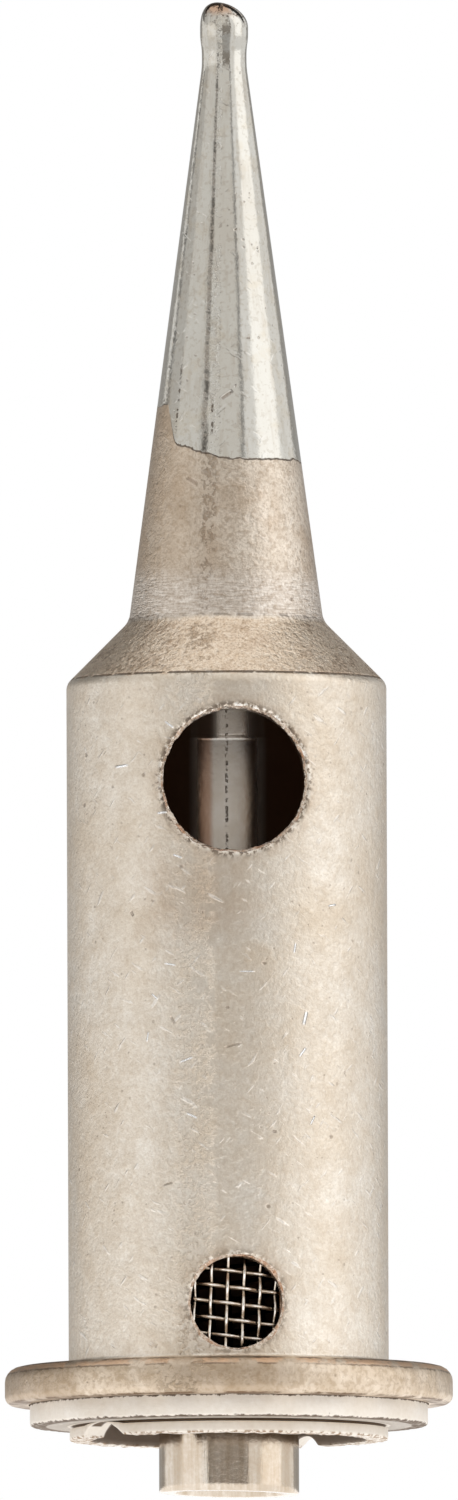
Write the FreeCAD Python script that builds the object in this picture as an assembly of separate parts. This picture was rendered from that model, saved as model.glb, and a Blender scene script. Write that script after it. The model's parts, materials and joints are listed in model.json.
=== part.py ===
import FreeCAD, Part
import math
import os

# Tip of a gas powered soldering iron, in millimetres, standing on the end of its
# inlet tube with the bit pointing up. Heights run up Z from that end.
#
# The tip body is turned from one bar: a tinned nose, a long cone, a 45 degree
# shoulder, a hollow barrel and the flange that the iron's nut clamps. Gas and air
# come up the inlet tube into a sleeve of wire gauze, burn on the outside of the
# gauze until the catalyst above it glows, and leave by the exhaust hole.

Vector = FreeCAD.Vector
UP = Vector(0, 0, 1)
ORIGIN = Vector(0, 0, 0)

# Inlet tube, drawn, with a shank turned down for the plug, so a shoulder stops it
tube_radius = 1.75
tube_wall = 0.4
tube_shoulder = 0.2
tube_reach = 1.355          # how far it stands out below the skirt
tube_edge = 0.05            # bevel on both rims of its lower end

# Base plug, turned: a skirt, a disc, a pilot in the barrel and a boss for the gauze
skirt_radius = 3.98
skirt_wall = 0.58
skirt_height = 0.375
skirt_recess = 0.6          # depth of the pocket inside the skirt
undercut_height = 0.07      # groove between skirt and disc
undercut_depth = 0.1
disc_radius = 4.975
disc_height = 0.54
disc_edge = 0.05
pilot_length = 0.7
boss_length = 0.42

# Scallops in the lower edge of the skirt: angle from the front, chord and depth
near_scallop = (-57.0, 1.55, 0.36)
far_scallop = (143.0, 0.8, 0.24)

# Flange of the tip body
flange_radius = 5.6
flange_thickness = 0.91     # at its edge
flange_rise = 0.1           # its top climbs this much towards the barrel
flange_top_edge = 0.26      # bevels
flange_foot_edge = 0.12
flange_root = 0.07          # where the barrel stands on it
rebate_depth = 0.12         # shallow seat in its foot for the plug's disc
rebate_room = 0.03          # gap round the disc in that seat, the dark seam under the rim

# Barrel
barrel_radius = 4.0
barrel_length = 17.03
barrel_edge = 0.13          # bevel between barrel and shoulder
barrel_wall = 0.65
crown = 1.17                # from the end of the straight bore up to the shoulder
lead_length = 0.74          # past that end the bore narrows slightly, as the reamer's lead
lead_taper = 0.08
drill_point = 135.0         # included angle of the bore's end

# Shoulder, cone and nose
cone_foot_radius = 2.43
cone_foot_fillet = 0.45
cone_length = 13.88
neck_radius = 0.558
neck_length = 0.42
bead_radius = 0.6           # drop of solder frozen on the nose
bead_swell = 0.3            # height over which the neck swells into the bead
bead_length = 0.27
bead_rounding = 0.5
dome_height = 0.63
dome_lean = 0.165           # the dome's top lies this far left of the axis

# Holes drilled through the front wall, and how far each drill ran on inside it
exhaust_radius = 1.775
exhaust_drop = 1.42         # its centre below the end of the straight bore
exhaust_overrun = 1.95
window_radius = 1.15
window_rise = 2.36          # its centre above the flange's foot
window_overrun = 0.07

# Wire gauze of the flame trap
wire = 0.1
mesh_pitch = 0.41
gauze_grip = 0.01           # room between the boss and the wires round it
gauze_room = 0.12           # room between the wires and the bore
gauze_length = 3.66
mesh_opening = 0.29         # open gap between two wires, clear of the uprights
gap_columns = 9
gap_rows = 7
cap_gaps = 5                # gaps along each side of the cap's open field

# Catalyst, a sleeve of coated fibre
catalyst_room = 0.02        # between it and the bore
catalyst_drop = 0.265       # its top below the exhaust hole's lowest point
catalyst_bore_radius = 1.2

# Heights and radii worked out from the sizes above
z_skirt = tube_reach
z_pocket = z_skirt + skirt_recess
z_disc = z_skirt + skirt_height
z_seat = z_disc + disc_height
z_rebate = z_seat + rebate_depth
z_flange_edge = z_seat + flange_thickness
z_barrel = z_flange_edge + flange_rise
z_barrel_top = z_barrel + barrel_length
z_cone = z_barrel_top + barrel_radius - cone_foot_radius
z_neck = z_cone + cone_length
z_swell = z_neck + neck_length
z_bead = z_swell + bead_swell
z_dome = z_bead + bead_length
z_bore_end = z_barrel_top - crown
z_lead_end = z_bore_end + lead_length
z_exhaust = z_bore_end - exhaust_drop
z_window = z_seat + window_rise
z_pilot_top = z_seat + pilot_length
z_boss_top = z_pilot_top + boss_length
z_cap = z_pilot_top + gauze_length
z_catalyst = z_cap + wire
z_catalyst_top = z_exhaust - exhaust_radius - catalyst_drop

bore_radius = barrel_radius - barrel_wall
lead_radius = bore_radius - lead_taper
rebate_radius = disc_radius + rebate_room
shank_radius = tube_radius - tube_shoulder
tube_bore_radius = tube_radius - tube_wall
gauze_radius = bore_radius - gauze_room - wire      # middle of the wall
boss_radius = gauze_radius - wire / 2 - gauze_grip
uprights = round(2 * math.pi * gauze_radius / mesh_pitch)
upright_step = 360 / uprights


def turned(corners):
    """Solid of revolution about Z through corners (radius, height), each with an
    optional ("round", radius) or ("bevel", setback) that takes off its point."""
    points = [Vector(corner[0], 0, corner[1]) for corner in corners]
    starts, ends, blends = [], [], []
    for i, corner in enumerate(corners):
        here = points[i]
        start, end, blend = here, here, None
        if len(corner) > 2:
            kind, size = corner[2]
            back = (points[i - 1] - here).normalize()
            ahead = (points[(i + 1) % len(points)] - here).normalize()
            half_angle = back.getAngle(ahead) / 2
            reach = size / math.tan(half_angle) if kind == "round" else size
            start = here + back * reach
            end = here + ahead * reach
            blend = Part.LineSegment(start, end)
            if kind == "round":
                inward = (back + ahead).normalize()
                middle = here + inward * size * (1 / math.sin(half_angle) - 1)
                blend = Part.Arc(start, middle, end)
        starts.append(start)
        ends.append(end)
        blends.append(blend)
    edges = []
    for i, blend in enumerate(blends):
        if blend:
            edges.append(blend.toShape())
        edges.append(Part.LineSegment(ends[i], starts[(i + 1) % len(points)]).toShape())
    return Part.Face(Part.Wire(edges)).revolve(ORIGIN, UP, 360)


def around(angle, radius, height):
    """Point at an angle from the front, counted towards the right."""
    turn = math.radians(angle)
    return Vector(radius * math.sin(turn), -radius * math.cos(turn), height)


def drilled(radius, height, overrun):
    """Drill that enters from the front and stops an overrun past the barrel's wall."""
    length = radius + barrel_wall + overrun
    start = Vector(0, -barrel_radius - radius, height)
    return Part.makeCylinder(radius, length, start, Vector(0, 1, 0))


def leaning_dome():
    """Frozen top of the solder bead, whose sections drift to the left as they shrink."""
    sections = []
    for share in (0.0, 0.4, 0.7, 0.9, 0.98):
        radius = bead_radius * math.sqrt(1 - share ** 2)
        centre = Vector(-dome_lean * share ** 2, 0, z_dome + dome_height * share)
        sections.append(Part.Wire(Part.makeCircle(radius, centre, UP)))
    sections.append(Part.Vertex(-dome_lean, 0, z_dome + dome_height))
    return Part.makeLoft(sections, True, False)


def tip_body():
    drill_cone = lead_radius / math.tan(math.radians(drill_point / 2))
    body = turned([
        (0, z_dome),
        (bead_radius, z_dome),
        (bead_radius, z_bead, ("round", bead_rounding)),
        (neck_radius, z_swell, ("round", bead_rounding)),
        (neck_radius, z_neck),
        (cone_foot_radius, z_cone, ("round", cone_foot_fillet)),
        (barrel_radius, z_barrel_top, ("bevel", barrel_edge)),
        (barrel_radius, z_barrel, ("bevel", flange_root)),
        (flange_radius, z_flange_edge, ("bevel", flange_top_edge)),
        (flange_radius, z_seat, ("bevel", flange_foot_edge)),
        (rebate_radius, z_seat),
        (rebate_radius, z_rebate),
        (bore_radius, z_rebate),
        (bore_radius, z_bore_end),
        (lead_radius, z_lead_end),
        (0, z_lead_end + drill_cone),
    ])
    holes = [
        drilled(exhaust_radius, z_exhaust, exhaust_overrun),
        drilled(window_radius, z_window, window_overrun),
    ]
    return body.fuse(leaning_dome()).cut(holes).Solids[0]


def scallop(angle, chord, depth):
    """Round cutter that bites a scallop of that chord and depth out of the skirt's edge."""
    radius = (chord ** 2 / 4 + depth ** 2) / (2 * depth)
    middle = around(angle, skirt_radius - skirt_wall / 2, z_skirt + depth - radius)
    outward = around(angle, 1, 0)
    return Part.makeCylinder(radius, 2 * skirt_wall, middle - outward * skirt_wall, outward)


def base_plug():
    plug = turned([
        (shank_radius, z_boss_top),
        (boss_radius, z_boss_top),
        (boss_radius, z_pilot_top),
        (bore_radius, z_pilot_top),
        (bore_radius, z_rebate),
        (disc_radius, z_rebate),
        (disc_radius, z_disc, ("bevel", disc_edge)),
        (skirt_radius - undercut_depth, z_disc),
        (skirt_radius - undercut_depth, z_disc - undercut_height),
        (skirt_radius, z_disc - undercut_height),
        (skirt_radius, z_skirt),
        (skirt_radius - skirt_wall, z_skirt),
        (skirt_radius - skirt_wall, z_pocket),
        (shank_radius, z_pocket),
    ])
    return plug.cut([scallop(*near_scallop), scallop(*far_scallop)]).Solids[0]


def inlet_tube():
    return turned([
        (tube_bore_radius, z_boss_top),
        (shank_radius, z_boss_top),
        (shank_radius, z_pocket),
        (tube_radius, z_pocket),
        (tube_radius, 0, ("bevel", tube_edge)),
        (tube_bore_radius, 0, ("bevel", tube_edge)),
    ])


def many_sided(flat_radius, sides, height, length):
    """Upright prism with flats at that radius and corners half a step from the front."""
    corner_radius = flat_radius / math.cos(math.pi / sides)
    corners = [around((i + 0.5) * 360 / sides, corner_radius, height) for i in range(sides)]
    outline = Part.makePolygon(corners + corners[:1])
    return Part.Face(outline).extrude(UP * length)


def gauze_sleeve():
    """Woven wire rolled into a sleeve. Upright wires stand proud of a wall with one flat
    between each two, and the meshes that the window shows are open gaps in the flats."""
    inner = gauze_radius - wire / 2
    wall = many_sided(gauze_radius + wire / 2, uprights, z_pilot_top, gauze_length)
    wall = wall.cut(many_sided(inner, uprights, z_pilot_top, gauze_length))
    wires = []
    for i in range(uprights):
        wire_bar = many_sided(wire / 2, 6, z_pilot_top, gauze_length)
        wire_bar.translate(around((i + 0.5) * upright_step, gauze_radius + wire / 2, 0))
        wires.append(wire_bar)
    gaps = []
    for column in range(gap_columns):
        angle = (column - (gap_columns - 1) / 2) * upright_step
        for row in range(gap_rows):
            height = z_window + (row - (gap_rows - 1) / 2) * mesh_pitch
            gap = Part.makeBox(mesh_opening, 4 * wire, mesh_opening)
            gap.translate(Vector(-mesh_opening / 2, -2 * wire, -mesh_opening / 2))
            gap.rotate(ORIGIN, UP, angle)
            gap.translate(around(angle, gauze_radius, height))
            gaps.append(gap)
    return wall.fuse(wires).removeSplitter().cut(gaps).Solids[0]


def gauze_cap():
    """Disc of the same gauze that closes the sleeve under the catalyst."""
    disc = Part.makeCylinder(gauze_radius + wire / 2, wire, Vector(0, 0, z_cap), UP)
    gaps = []
    for column in range(cap_gaps):
        for row in range(cap_gaps):
            x = (column - (cap_gaps - 1) / 2) * mesh_pitch - mesh_opening / 2
            y = (row - (cap_gaps - 1) / 2) * mesh_pitch - mesh_opening / 2
            corner = Vector(x, y, z_cap - wire)
            gaps.append(Part.makeBox(mesh_opening, mesh_opening, 3 * wire, corner))
    return disc.cut(gaps).Solids[0]


def catalyst_sleeve():
    radius = bore_radius - catalyst_room
    return turned([
        (catalyst_bore_radius, z_catalyst_top),
        (radius, z_catalyst_top),
        (radius, z_catalyst),
        (catalyst_bore_radius, z_catalyst),
    ])


os.makedirs("parts", exist_ok=True)
for piece in (tip_body, base_plug, inlet_tube, gauze_sleeve, gauze_cap, catalyst_sleeve):
    shape = piece()
    shape.exportStep(f"parts/{piece.__name__}.step")
    state = "valid" if shape.isValid() else "NOT VALID"
    print(f"{piece.__name__}: {len(shape.Solids)} solid, {shape.Volume:.2f} mm3, {state}")
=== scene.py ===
# %% [markdown]
# # The tip of a gas powered soldering iron
# This lesson dresses a metal part that was built in CAD, so that it looks like the real
# thing after some use. The part is a turned bit: a tinned nose, a long cone, a shoulder
# and a hollow barrel with two holes in its wall, clamped by the flange at its foot. Inside
# sit a wire gauze and a catalyst that burn the gas. It stands on the end of its inlet tube.
#
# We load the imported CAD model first. It is the fixed frame of everything that follows:
# every new piece takes the place of a CAD piece, keeps its sizes and rides with it.

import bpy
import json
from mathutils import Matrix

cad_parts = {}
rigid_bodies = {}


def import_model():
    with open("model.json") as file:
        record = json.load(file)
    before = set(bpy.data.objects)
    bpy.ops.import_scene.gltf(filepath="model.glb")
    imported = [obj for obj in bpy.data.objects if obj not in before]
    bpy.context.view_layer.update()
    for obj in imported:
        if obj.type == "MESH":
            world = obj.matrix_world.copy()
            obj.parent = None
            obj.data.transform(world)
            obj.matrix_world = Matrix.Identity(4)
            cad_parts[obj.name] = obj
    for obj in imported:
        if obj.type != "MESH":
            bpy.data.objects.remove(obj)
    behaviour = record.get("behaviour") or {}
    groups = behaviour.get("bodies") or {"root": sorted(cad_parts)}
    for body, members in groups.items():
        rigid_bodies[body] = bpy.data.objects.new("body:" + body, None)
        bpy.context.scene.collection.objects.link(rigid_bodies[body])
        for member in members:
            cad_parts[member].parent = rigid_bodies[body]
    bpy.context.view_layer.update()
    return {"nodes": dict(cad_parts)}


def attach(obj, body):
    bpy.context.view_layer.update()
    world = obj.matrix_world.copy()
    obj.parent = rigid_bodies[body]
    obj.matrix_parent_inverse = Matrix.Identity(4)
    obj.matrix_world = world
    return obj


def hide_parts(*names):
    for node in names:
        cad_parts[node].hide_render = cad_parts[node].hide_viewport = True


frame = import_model()
print("pieces in the packed model:", sorted(frame["nodes"]))

# %% [markdown]
# ## A lathe made of bmesh operators
# Nearly every surface here was cut on a lathe, so the same tool fits them all: half an
# outline, spun once round the axis. We could use a Screw modifier, but bmesh's spin leaves
# a mesh whose rows and columns we can still move, which the drilled holes will need.
#
# The tool works in millimetres. Blender's operators round off at very small distances, and
# a bevel of a twentieth of a millimetre is too near to that limit when it is in metres.
# Each corner of the outline is (radius, height, row length up to the next corner) and may
# add (size of its rounding, number of segments).

# %% The lathe
import bmesh
import bpy
import json
from math import atan2, cos, degrees, hypot, pi, radians, sin, sqrt, tan
from mathutils import Matrix, Vector, noise

METRES = 0.001    # one millimetre
FAR = 9.0         # more than any mask or ring reaches


def turn_outline(corners, columns, closed=True):
    """Spins an outline once round Z, with rows of the given lengths, and returns the bmesh."""
    bm = bmesh.new()
    row_length = bm.edges.layers.float.new("row length")
    points = [bm.verts.new((corner[0], 0, corner[1])) for corner in corners]
    following = points[1:] + points[:1] if closed else points[1:]
    for corner, here, ahead in zip(corners, points, following):
        bm.edges.new((here, ahead))[row_length] = corner[2]
    for corner, point in zip(corners, points):
        if len(corner) > 3:
            bmesh.ops.bevel(bm, geom=[point], offset=corner[3], offset_type="OFFSET",
                            segments=corner[4], profile=0.5, affect="VERTICES", material=-1)
    for edge in list(bm.edges):
        cuts = round(edge.calc_length() / edge[row_length]) - 1
        if cuts > 0:
            bmesh.ops.subdivide_edges(bm, edges=[edge], cuts=cuts)
    bmesh.ops.spin(bm, geom=bm.verts[:] + bm.edges[:], cent=(0, 0, 0), axis=(0, 0, 1),
                   angle=2 * pi, steps=columns, use_merge=True)
    bmesh.ops.remove_doubles(bm, verts=bm.verts, dist=1e-5)
    bmesh.ops.recalc_face_normals(bm, faces=bm.faces)
    return bm


def front_angle(place):
    """Angle in radians round the axis, from the front (-Y) towards the right (+X)."""
    return atan2(place.x, -place.y)


def off_axis(place):
    """Distance from the axis."""
    return hypot(place.x, place.y)


def placed(name, data):
    """Puts a mesh, a lamp or a camera into the scene."""
    thing = bpy.data.objects.new(name, data)
    bpy.context.scene.collection.objects.link(thing)
    return thing


def finished_piece(bm, name, stands_for, sharp_over=50):
    """Shades the mesh, brings it to metres and lets it stand for a CAD piece."""
    for face in bm.faces:
        face.smooth = True
    for edge in bm.edges:
        edge.smooth = edge.calc_face_angle(0) < radians(sharp_over)
    bmesh.ops.scale(bm, vec=(METRES, METRES, METRES), verts=bm.verts)
    mesh = bpy.data.meshes.new(name)
    bm.to_mesh(mesh)
    bm.free()
    piece = placed(name, mesh)
    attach(piece, "root")
    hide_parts(stands_for)
    mesh.calc_loop_triangles()
    print(f"{name}: {len(mesh.loop_triangles)} triangles, stands for {stands_for}")
    return piece

# %% [markdown]
# ## The outline of the tip body
# The body is one closed wall: its outline runs from the drill's cone at the end of the
# bore, down the bore, round the foot and up the outside to the drop of solder on the nose.
# The rows are long where nothing happens and short round the two holes, because a hole's
# rim is drawn by the rows and columns that pass it. Both walls get the same rows there, so
# that each vertex of the outer rim will find its partner on the inner one.

# %% Sizes of the tip body
z_seat, z_rebate, z_flange_edge, z_barrel = 2.27, 2.39, 3.18, 3.28
z_bore_end, z_barrel_top, z_cone, z_neck = 19.14, 20.31, 21.88, 35.76
lead_radius = 3.27    # the reamer's lead narrows the end of the bore
z_swell, z_bead, z_dome, dome_height, dome_lean = 36.18, 36.48, 36.75, 0.63, 0.165
barrel_radius, bore_radius, flange_radius, rebate_radius = 4.0, 3.35, 5.6, 5.005
cone_foot_radius, neck_radius, bead_radius = 2.43, 0.558, 0.6
ceiling_slope = tan(radians(67.5))    # the drill's point is 135 degrees wide

# Each hole: height, radius, columns and rows from its centre to its rim, row length,
# how many rows out the grid goes on bending round it, and how far its rim is torn
exhaust = dict(z=17.72, radius=1.775, columns=26, rows=26, row=1.42 / 23, reach=35, torn=0.026)
window = dict(z=4.63, radius=1.15, columns=18, rows=18, row=0.0575, reach=22, torn=0.012)
for hole in (exhaust, window):
    hole["low"] = hole["z"] - hole["reach"] * hole["row"]
    hole["high"] = hole["z"] + hole["reach"] * hole["row"]
print("rows bend between", round(window["low"], 3), round(window["high"], 3), "and",
      round(exhaust["low"], 3), round(exhaust["high"], 3))


def bore_wall(height):
    """Radius of the bore's wall: straight, then one step in, then the reamer's lead."""
    above = max(0.0, height - z_bore_end)
    step_in = 0.025 * min(1.0, above / exhaust["row"])
    lead = (bore_radius - lead_radius - 0.025) * above / (exhaust["high"] - z_bore_end)
    return bore_radius - step_in - lead


# %% Spin the tip body
z_step = z_bore_end + exhaust["row"]
body_outline = [
    (0, exhaust["high"] + lead_radius / ceiling_slope, 0.3),
    (lead_radius, exhaust["high"], exhaust["row"]),
    (bore_wall(z_step), z_step, exhaust["row"]),
    (bore_radius, z_bore_end, exhaust["row"]),
    (bore_radius, exhaust["low"], 1.2),
    (bore_radius, window["high"], window["row"]),
    (bore_radius, window["low"], 0.5),
    (bore_radius, z_rebate, 0.5),
    (rebate_radius, z_rebate, 0.12),
    (rebate_radius, z_seat, 0.15),
    (flange_radius, z_seat, 0.16, 0.2, 4),
    (flange_radius, z_flange_edge, 0.22, 0.34, 5),
    (barrel_radius, z_barrel, 0.1, 0.07, 2),
    (barrel_radius, window["low"], window["row"]),
    (barrel_radius, window["high"], 0.3),
    (barrel_radius, exhaust["low"], exhaust["row"]),
    (barrel_radius, exhaust["high"], 0.1),
    (barrel_radius, z_barrel_top, 0.14, 0.12, 3),
    (cone_foot_radius, z_cone, 0.26, 0.16, 4),
    (neck_radius, z_neck, 0.12, 0.12, 2),
    (neck_radius, z_swell, 0.1, 0.1, 2),
    (bead_radius, z_bead, 0.09, 0.1, 2),
]
for step in range(13):
    turn = radians(90 * step / 12)
    body_outline.append((bead_radius * cos(turn), z_dome + dome_height * sin(turn), 1))
body_outline[-1] = (0, z_dome + dome_height, 1)
body_columns = 200
body = turn_outline(body_outline, body_columns, closed=False)
print("tip body:", len(body.verts), "vertices in", body_columns, "columns")

# %% [markdown]
# ## Crowding the columns at the front
# Both holes are in the front wall. The columns stand 1.8 degrees apart, which is too coarse
# for a crisp rim. Instead of adding more columns all round, we slide them towards the
# front: the angle t becomes t - crowding * sin t, which leaves the front and the back where they
# are and makes the front more than twice as dense.

# %% Crowd the columns
crowding = 0.55
column_step = 2 * pi / body_columns
column_turn = body.verts.layers.float.new("column turn")
for vertex in body.verts:
    radius = off_axis(vertex.co)
    if radius < 1e-4:
        vertex[column_turn] = FAR
        continue
    turn = front_angle(vertex.co)
    vertex[column_turn] = turn
    turn -= crowding * sin(turn)
    vertex.co.x, vertex.co.y = radius * sin(turn), -radius * cos(turn)
print("first columns beside the front, in degrees:",
      [round(degrees(t - crowding * sin(t)), 2) for t in
       (column_step * k for k in range(4))])

# %% [markdown]
# ## Drilling the holes
# A Boolean would cut a round hole too, but it leaves long thin triangles beside the rim,
# and they show as creases on polished metal. Here the grid itself is bent: a square block
# of rows and columns is pressed into a disc, the rows round it give way little by little,
# and then the faces of the disc are deleted on both walls and the two rims are bridged.

# %% Drill both holes
def square_to_disc(u, v):
    """Maps a point of a square to the disc inside it, ring by ring."""
    if abs(u) >= abs(v):
        return (0.0, 0.0) if u == 0 else (u * cos(pi / 4 * v / u),
                                         u * sin(pi / 4 * v / u))
    return v * sin(pi / 4 * u / v), v * cos(pi / 4 * u / v)


ring = body.verts.layers.float.new("ring")
for vertex in body.verts:
    vertex[ring] = FAR


def bend_grid(hole):
    """Bends the rows and columns round a hole, and notes in each vertex which ring it is on."""
    reach = hole["reach"] / hole["rows"]
    for vertex in body.verts:
        u = vertex[column_turn] / (hole["columns"] * column_step)
        v = (vertex.co.z - hole["z"]) / (hole["rows"] * hole["row"])
        q = max(abs(u), abs(v))
        if q > reach + 1e-4:
            continue
        outside = off_axis(vertex.co) > barrel_radius - 0.1
        flat_x, flat_z = square_to_disc(u, v)
        ease = min(1.0, max(0.0, (reach - q) / (reach - 1)))
        ease = ease * ease * (3 - 2 * ease)
        x = vertex.co.x + (hole["radius"] * flat_x - vertex.co.x) * ease
        z = vertex.co.z + (hole["z"] + hole["radius"] * flat_z - vertex.co.z) * ease
        wall = barrel_radius if outside else bore_wall(z)
        vertex.co = (x, -sqrt(wall * wall - x * x), z)
        vertex[ring] = q


def drill(hole):
    """Opens the hole in both walls and joins the two rims."""
    bend_grid(hole)
    near = [f for f in body.faces if abs(f.calc_center_median().z - hole["z"]) < 3]
    inside = [f for f in near if all(v[ring] < 1.0001 for v in f.verts)]
    bmesh.ops.delete(body, geom=inside, context="FACES")
    rims = [e for e in body.edges if e.is_boundary and abs(e.verts[0].co.z - hole["z"]) < 3]
    wall = bmesh.ops.bridge_loops(body, edges=rims)
    for face in wall["faces"]:
        face.material_index = 1
    spokes = [e for e in wall["edges"] if e.is_valid]
    bmesh.ops.subdivide_edges(body, edges=spokes, cuts=3, use_grid_fill=True)
    print(f"hole at {hole['z']} mm: {len(inside)} faces out, {len(rims)} rim edges bridged")


drill(exhaust)
drill(window)
bmesh.ops.recalc_face_normals(body, faces=body.faces)
print("edges left open:", sum(e.is_boundary for e in body.edges))

# %% [markdown]
# ## Burrs and worn edges
# A drill leaves a lip of torn metal, and handling rounds it. We press the outermost ring of
# each rim a little into the hole, which makes a narrow chamfer, and shake it with noise so
# that it glints unevenly. The turned edges get a fainter shake: they were never deburred.
# Then the sections of the solder dome slide to the left as they rise, as the drop froze.

# %% Wear the edges
def shake(place, size):
    """Noise from about -1 to 1 that changes over the given size in millimetres."""
    return noise.noise(Vector(place) / size) * 1.6


def worn_height(height, level, width):
    """1 at a level, falling to 0 a width away from it."""
    return max(0.0, 1 - abs(height - level) / width)


for hole in (exhaust, window):
    one_ring = 1 / hole["rows"]
    centre = Vector((0, 0, hole["z"]))
    lip = hole["torn"]
    for vertex in body.verts:
        out = vertex[ring] - 1
        if not -0.001 < out < 2.5 * one_ring or abs(vertex.co.z - hole["z"]) > 2.5:
            continue
        if off_axis(vertex.co) < barrel_radius - 0.02:
            continue
        spoke = vertex.co - centre
        spoke.y = 0
        torn = shake(vertex.co, 0.35) + 0.8 * shake(vertex.co, 0.12)
        if out < 0.001:
            vertex.co += spoke.normalized() * lip * 0.7 * torn
            vertex.co.y += 4 * lip + lip * torn
        elif out < 1.5 * one_ring:
            vertex.co += spoke.normalized() * lip * 0.5 * torn
            vertex.co.y += lip * (0.9 + 1.3 * torn)
for vertex in body.verts:
    radius = off_axis(vertex.co)
    if radius < 1e-4:
        continue
    rough = 0.010 * worn_height(vertex.co.z, 20.40, 0.09) * (radius > 3.6)
    rough += 0.008 * worn_height(vertex.co.z, z_seat + 0.1, 0.12) * (radius > 5.1)
    rough += 0.006 * worn_height(vertex.co.z, 3.08, 0.15) * (radius > 5.2)
    if rough:
        radius_now = radius - rough * abs(shake(vertex.co, 0.22) + shake(vertex.co, 0.08))
        vertex.co.x *= radius_now / radius
        vertex.co.y *= radius_now / radius
    share = (vertex.co.z - z_dome) / dome_height
    if share > 0 and radius < 1:
        vertex.co.x -= dome_lean * share ** 2
for vertex in body.verts:
    if vertex.co.z > z_dome + dome_height - 1e-4:
        vertex.co.x = -dome_lean
for face in body.faces:
    middle = face.calc_center_median()
    radius = off_axis(middle)
    if face.material_index == 0 and radius < bore_radius + 0.01 and z_rebate < middle.z:
        inward = face.normal.x * middle.x + face.normal.y * middle.y < 0.02 * radius
        if inward and middle.z < z_bore_end + 2.2:
            face.material_index = 2
    rim = sorted(v[ring] for v in face.verts)
    if face.material_index == 0 and rim[0] < 1.0001 and radius > 3.5:
        face.material_index = 1
tip_body = finished_piece(body, "tip_body_worn", "tip_body")

# %% [markdown]
# ## The base plug
# The plug closes the barrel: a smooth disc under the flange, and below it a short skirt
# round the inlet tube. Its outline is spun like the body's. The two scallops in the skirt's
# lower edge could be cut with a Boolean as in CAD, but pushing the edge up where they are
# keeps the rows whole, and lets us add the small burrs that hang along that edge.

# %% The base plug
z_skirt, z_pocket, z_disc, z_pilot_top, z_boss_top = 1.355, 1.955, 1.73, 2.97, 3.39
skirt_radius, skirt_wall, disc_radius, boss_radius = 3.98, 0.58, 4.975, 3.07
tube_radius, shank_radius, tube_bore_radius = 1.75, 1.55, 1.35
plug = turn_outline([
    (shank_radius, z_boss_top, 0.5),
    (boss_radius, z_boss_top, 0.2, 0.05, 2),
    (boss_radius, z_pilot_top, 0.2),
    (bore_radius, z_pilot_top, 0.2, 0.05, 2),
    (bore_radius, z_rebate, 0.5),
    (disc_radius, z_rebate, 0.3),
    (disc_radius, z_disc, 0.2, 0.07, 3),
    (skirt_radius - 0.1, z_disc, 0.035, 0.02, 1),
    (skirt_radius - 0.1, z_disc - 0.07, 0.1),
    (skirt_radius, z_disc - 0.07, 0.08, 0.03, 2),
    (skirt_radius, z_skirt, 0.15, 0.05, 2),
    (skirt_radius - skirt_wall, z_skirt, 0.1, 0.05, 2),
    (skirt_radius - skirt_wall, z_pocket, 0.4, 0.05, 2),
    (shank_radius, z_pocket, 0.5),
], 240)

# Angle from the front, chord and depth of each scallop
scallops = [(-57.0, 1.55, 0.36), (143.0, 0.8, 0.24)]


def skirt_edge(angle):
    """Height of the skirt's lower edge at an angle, over the edge that was turned."""
    lift = 0.0
    for middle, chord, depth in scallops:
        cutter = (chord ** 2 / 4 + depth ** 2) / (2 * depth)
        along = radians(angle - middle) * (skirt_radius - skirt_wall / 2)
        if abs(along) < cutter:
            lift = max(lift, sqrt(cutter ** 2 - along ** 2) - (cutter - depth))
    return lift


for vertex in plug.verts:
    radius = off_axis(vertex.co)
    angle = degrees(front_angle(vertex.co))
    if skirt_radius - skirt_wall - 0.01 < radius < skirt_radius + 0.01 and vertex.co.z < z_disc:
        low = (z_disc - vertex.co.z) / (z_disc - z_skirt)
        burr = 0.03 * abs(shake(vertex.co, 0.5)) + 0.02 * abs(shake(vertex.co, 0.25))
        vertex.co.z = z_disc - low * (z_disc - z_skirt - skirt_edge(angle))
        vertex.co.z += burr * (low > 0.8)
    if disc_radius - 0.1 < radius and vertex.co.z < z_disc + 0.1:
        vertex.co.z += 0.012 * abs(shake(vertex.co, 0.25))
base_plug = finished_piece(plug, "base_plug_turned", "base_plug")

# %% [markdown]
# ## The inlet tube
# A plain drawn tube, cut to length with a slightly slanting saw: its end stands a few
# hundredths of a millimetre higher on the left. The spun ring is tilted only near that end.

# %% The inlet tube
tube = turn_outline([
    (tube_bore_radius, z_boss_top, 0.3),
    (shank_radius, z_boss_top, 0.4),
    (shank_radius, z_pocket, 0.3),
    (tube_radius, z_pocket, 0.15),
    (tube_radius, 0, 0.2, 0.06, 3),
    (tube_bore_radius, 0, 0.3, 0.05, 2),
], 96)
for vertex in tube.verts:
    fade = max(0.0, 1 - vertex.co.z / 1.0)
    slant = 0.03 * (1 - vertex.co.x / tube_radius)
    vertex.co.z += fade * (slant + 0.01 * abs(shake(vertex.co, 0.5)))
inlet_tube = finished_piece(tube, "inlet_tube_drawn", "inlet_tube")

# %% [markdown]
# ## The wire gauze
# Behind the small window lies a real weave: 48 upright wires, and a weft that climbs over
# one and under the next. A flat texture would not hide one wire behind another, so each
# wire is a curve with a round section. Six wefts wind up the sleeve side by side like the
# threads of a screw, because the photograph shows them falling to the right. Going up six
# rows in 48 columns keeps the over and under in step when a weft comes round again.

# %% Weave the sleeve
wire_radius, pitch, uprights, wefts = 0.05, 0.41, 48, 6
gauze_radius, z_cap, crimp = 3.135, 6.63, 0.052
fall = wefts * pitch        # how far a weft drops in one turn
lean = 0.037                # how far an upright leans to the right as it rises
fineness = 4                # points of a wire from one crossing to the next
low_end, high_end = z_pilot_top + wire_radius, z_cap - wire_radius


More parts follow.
